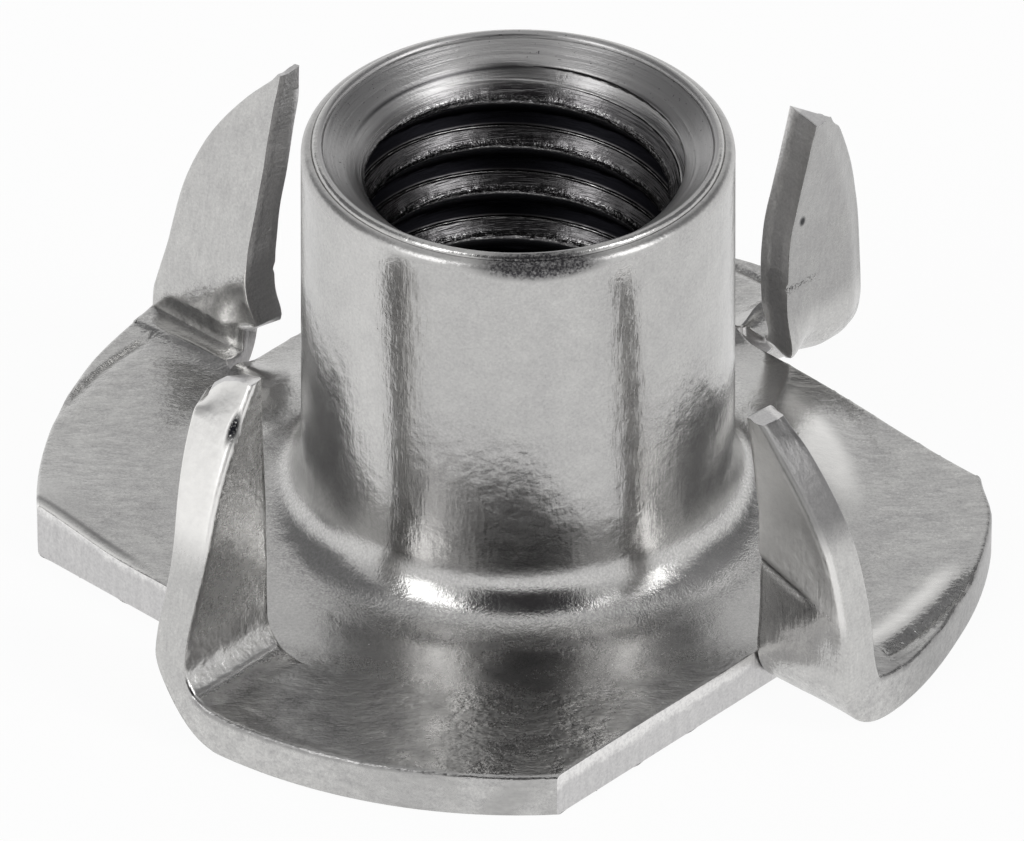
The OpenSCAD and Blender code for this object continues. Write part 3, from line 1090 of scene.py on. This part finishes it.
class TEENUT_OT_stage(bpy.types.Operator):
    """Sets the floor, the studio's cards and lamps, and the camera"""
    bl_idname = "teenut.stage"
    bl_label = "Studio"

    def execute(self, context):
        scene = context.scene
        studio = scene.nut_studio
        plane("floor", FLOOR_SIZE, FLOOR_SIZE, Matrix(), floor_paint(studio))
        card("dark_card", studio.card_w, studio.card_h, studio.card_turn, studio.card_rise, studio.card)
        for name, side in (("left_card", -1), ("right_card", 1)):
            card(name, studio.side_w, studio.side_h, side * studio.side_turn, studio.card_rise, studio.side)
        softbox(scene, "left_softbox", studio.left_turn, studio.left_light)
        softbox(scene, "right_softbox", studio.right_turn, studio.right_light)
        scene.world = room_light(studio)
        aim_camera(scene)
        scene.view_settings.view_transform = "Standard"
        return {"FINISHED"}


def room_light(studio):
    """The room's light: brightest near the floor."""
    world = bpy.data.worlds.new("studio")
    world.use_nodes = True
    nodes = Nodes(world.node_tree)
    direction = nodes.node("TexCoord").also("Generated")
    height = nodes.split(direction)[2].ramp(0.02, 0.5)
    tone = nodes.blend(height, studio.backdrop, studio.room)
    plug(nodes.tree, nodes.tree.nodes["Background"].inputs["Color"], tone)
    return world


def facing_nut(turn, rise, distance):
    """Where a card or lamp stands: turned about the nut from the front, raised, and facing the nut."""
    out = Matrix.Rotation(turn, 3, "Z") @ Vector((0, -math.cos(rise), math.sin(rise)))
    return Matrix.Translation(out * distance) @ out.to_track_quat("Z", "Y").to_matrix().to_4x4()


def plane(name, width, depth, place, material):
    """A flat rectangle of the stage, made in its place."""
    bm = bmesh.new()
    bmesh.ops.create_grid(bm, x_segments=1, y_segments=1, size=0.5)
    bmesh.ops.scale(bm, vec=(width, depth, 1), verts=bm.verts)
    bmesh.ops.transform(bm, matrix=place, verts=bm.verts)
    mesh = bpy.data.meshes.new(name)
    bm.to_mesh(mesh)
    bm.free()
    mesh.materials.append(material)
    thing = bpy.data.objects.new(name, mesh)
    bpy.context.scene.collection.objects.link(thing)
    return thing


def softbox(scene, name, turn, light):
    """A tall soft lamp; light is how bright its face looks."""
    data = bpy.data.lights.new(name, "AREA")
    data.shape = "RECTANGLE"
    data.size, data.size_y = scene.nut_studio.softbox_w, scene.nut_studio.softbox_h
    data.energy = light * math.pi * data.size * data.size_y
    lamp = bpy.data.objects.new(name, data)
    lamp.matrix_world = facing_nut(turn, scene.nut_studio.softbox_rise, LAMP_DISTANCE)
    scene.collection.objects.link(lamp)


def card(name, width, height, turn, rise, tone):
    """A matt card that faces the nut, seen only in reflections."""
    paint = Paint(name)
    paint.matt(tone, 1)
    paint.shader["Specular IOR Level"].default_value = 0
    sheet = plane(name, width, height, facing_nut(turn, rise, CARD_DISTANCE), paint.material)
    sheet.visible_camera = False


def floor_paint(studio):
    """White paper: most of it is plain white to the view, and the rest keeps the nut's shadow."""
    paint = Paint("pale_paper")
    paint.matt(studio.paper, 0.9)
    path = paint.node("LightPath")
    seen = path.also("Is Camera Ray").max(path.also("Is Glossy Ray")).max(path.also("Is Transmission Ray"))
    light = paint.node("Emission", inputs={"Strength": 1.0})
    surface = paint.tree.nodes["Material Output"].inputs["Surface"]
    lit = Value(paint.tree, surface.links[0].from_socket)
    blend = paint.node("MixShader", inputs={0: seen * studio.paper_light, 1: lit, 2: light})
    paint.tree.links.new(blend.socket, surface)
    return paint.material


def aim_camera(scene):
    """A long lens, looking down on the nut from the front."""
    rise, turn = math.radians(CAMERA_RISE), Matrix.Rotation(math.radians(CAMERA_TURN), 3, "Z")
    back = turn @ Vector((0, -math.cos(rise), math.sin(rise)))
    right = turn @ Vector((1, 0, 0))
    aim = right * (AIM_RIGHT * MM) + back.cross(right) * (AIM_UP * MM)
    data = bpy.data.cameras.new("camera")
    data.lens = LENS
    data.sensor_width = 36
    data.clip_end = 10
    camera = bpy.data.objects.new("camera", data)
    camera.location = aim + back * CAMERA_DISTANCE
    camera.rotation_euler = back.to_track_quat("Z", "Y").to_euler()
    scene.collection.objects.link(camera)
    scene.camera = camera


class TEENUT_PT_panel(bpy.types.Panel):
    """A button for each of the nut's operators"""
    bl_idname = "TEENUT_PT_panel"
    bl_label = "Tee Nut"
    bl_space_type = "VIEW_3D"
    bl_region_type = "UI"
    bl_category = "Tee Nut"

    def draw(self, context):
        for operator in (TEENUT_OT_nut, TEENUT_OT_stage):
            self.layout.operator(operator.bl_idname)


CLASSES = (CupSize, ThreadSize, ProngSize, LobeSize, FinishSetting, StudioSetting,
           TEENUT_OT_nut, TEENUT_OT_stage, TEENUT_PT_panel)
GROUPS = {
    "nut_cup": CupSize,
    "nut_thread": ThreadSize,
    "nut_prong": ProngSize,
    "nut_lobe": LobeSize,
    "nut_finish": FinishSetting,
    "nut_studio": StudioSetting,
}


def register():
    """Adds the classes and the nut's settings to Blender."""
    for cls in CLASSES:
        bpy.utils.register_class(cls)
    for name, group in GROUPS.items():
        setattr(bpy.types.Scene, name, PointerProperty(type=group))


def unregister():
    """Takes them out again."""
    for name in GROUPS:
        delattr(bpy.types.Scene, name)
    for cls in reversed(CLASSES):
        bpy.utils.unregister_class(cls)


def main():
    """Builds the nut and its studio."""
    register()
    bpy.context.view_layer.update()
    bpy.ops.teenut.nut()
    bpy.ops.teenut.stage()
    bpy.context.view_layer.update()


if __name__ == "__main__":
    main()
